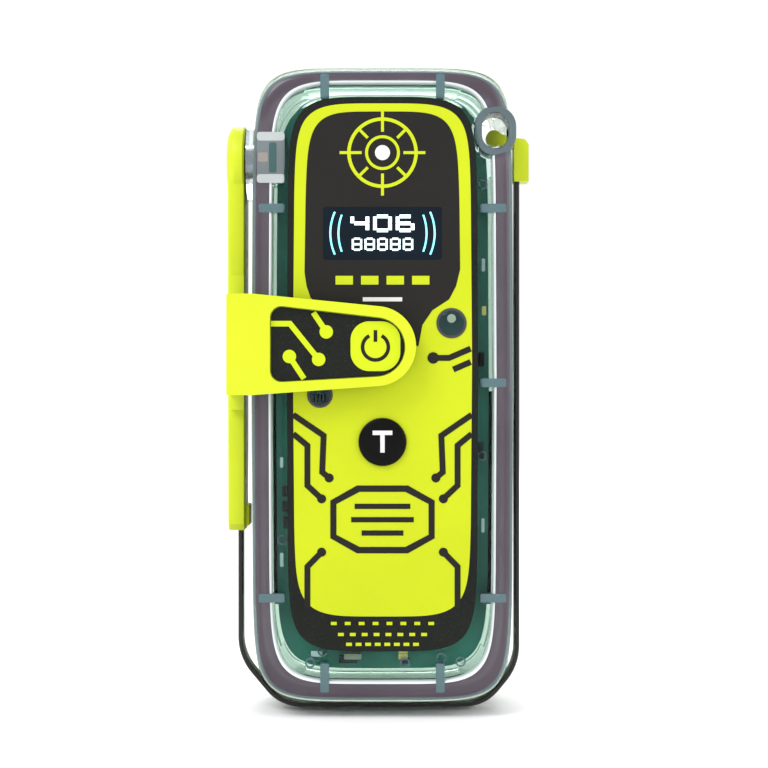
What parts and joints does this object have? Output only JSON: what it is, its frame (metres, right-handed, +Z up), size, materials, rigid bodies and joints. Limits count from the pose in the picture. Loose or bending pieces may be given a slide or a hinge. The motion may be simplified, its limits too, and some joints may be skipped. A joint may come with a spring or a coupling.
{
  "type": "emergency position beacon",
  "caption": "Hand-held distress beacon: clear sealed case, printed front panel, small display, guarded push buttons and a wrap-round spring antenna.",
  "frame": {"origin": "middle of the flat foot under the case, level with the antenna hinge's plane within a few millimetres", "axes": "+Z up along the case's height, -Y out of the front panel, +X to the right when facing the panel, so the antenna arm is on the -X side"},
  "size_m": [0.0534, 0.0378, 0.1147],
  "materials": {
    "clear_shell": "clear polycarbonate",
    "clear_boss": "clear polycarbonate",
    "gasket": "grey silicone",
    "steel": "stainless steel",
    "label": "printed film, yellow and black",
    "print": "black printed film with yellow lines",
    "window": "tinted clear film",
    "display": "display glass",
    "lens": "clear polycarbonate",
    "led": "white lamp with phosphor",
    "dark_led": "smoked lamp",
    "neon": "fluorescent yellow moulding",
    "seal": "black silicone",
    "black": "black moulding",
    "board": "green circuit board",
    "chip": "black packages",
    "ceramic_patch": "ceramic with silver face",
    "tin": "tinned steel can",
    "cell": "sleeved cell",
    "gold": "gold-plated spring strip",
    "blade": "black-coated spring steel"
  },
  "bodies": {
    "case": {"front_shell": "clear_shell", "rear_shell": "clear_shell", "case_gasket": "gasket", "case_screws": "steel", "front_label": "label", "rear_label": "label", "display_window": "window", "display_module": "display", "strobe_lens": "lens", "strobe_led": "led", "infrared_lens": "lens", "infrared_led": "dark_led", "power_seal": "seal", "power_switch": "steel", "test_seal": "seal", "test_switch": "steel", "main_board": "board", "board_screws": "steel", "board_chips": "chip", "gps_patch": "ceramic_patch", "radio_board": "board", "radio_shield": "tin", "board_connector": "chip", "battery_left": "cell", "battery_right": "cell", "battery_tray": "black", "battery_contacts": "gold", "battery_pad": "seal", "hinge_boss": "clear_boss", "hinge_seal": "seal", "antenna_contact": "gold"},
    "antenna_arm": {"antenna_arm": "neon", "button_guard": "neon", "guard_label": "print", "hinge_pin": "steel", "hinge_clip": "steel", "antenna_root": "blade"},
    "blade_1": {"blade_1": "blade"},
    "blade_2": {"blade_2": "blade"},
    "blade_3": {"blade_3": "blade"},
    "blade_4": {"blade_4": "blade", "antenna_tip": "neon"},
    "power_button": {"power_button": "neon"},
    "test_button": {"test_button": "black"}
  },
  "joints": [
    {"name": "antenna_swing", "type": "hinge", "parent": "case", "child": "antenna_arm", "pos_m": [-0.024, -0.0047, 0.0969], "axis": [-1, 0, 0], "range_deg": [0, 180]},
    {"name": "blade_bend_1", "type": "hinge", "parent": "antenna_arm", "child": "blade_1", "pos_m": [-0.0252, -0.0047, 0.00939], "axis": [0, 1, 0], "range_deg": [0, 40]},
    {"name": "blade_bend_2", "type": "hinge", "parent": "blade_1", "child": "blade_2", "pos_m": [-0.01801, -0.0047, 0.00082], "axis": [0, 1, 0], "range_deg": [0, 50]},
    {"name": "blade_bend_3", "type": "hinge", "parent": "blade_2", "child": "blade_3", "pos_m": [0.01801, -0.0047, 0.00082], "axis": [0, 1, 0], "range_deg": [0, 50]},
    {"name": "blade_bend_4", "type": "hinge", "parent": "blade_3", "child": "blade_4", "pos_m": [0.02388, -0.0047, 0.00782], "axis": [0, 1, 0], "range_deg": [0, 40]},
    {"name": "power_press", "type": "slide", "parent": "case", "child": "power_button", "axis": [0, 1, 0], "range_m": [0, 0.0005], "stiffness_N_per_m": 4000},
    {"name": "test_press", "type": "slide", "parent": "case", "child": "test_button", "axis": [0, 1, 0], "range_m": [0, 0.0005], "stiffness_N_per_m": 4000}
  ],
  "couplings": [
    {"joint": "blade_bend_1", "follows": "antenna_swing", "ratio": 0.22222},
    {"joint": "blade_bend_2", "follows": "antenna_swing", "ratio": 0.27778},
    {"joint": "blade_bend_3", "follows": "antenna_swing", "ratio": 0.27778},
    {"joint": "blade_bend_4", "follows": "antenna_swing", "ratio": 0.22222}
  ]
}
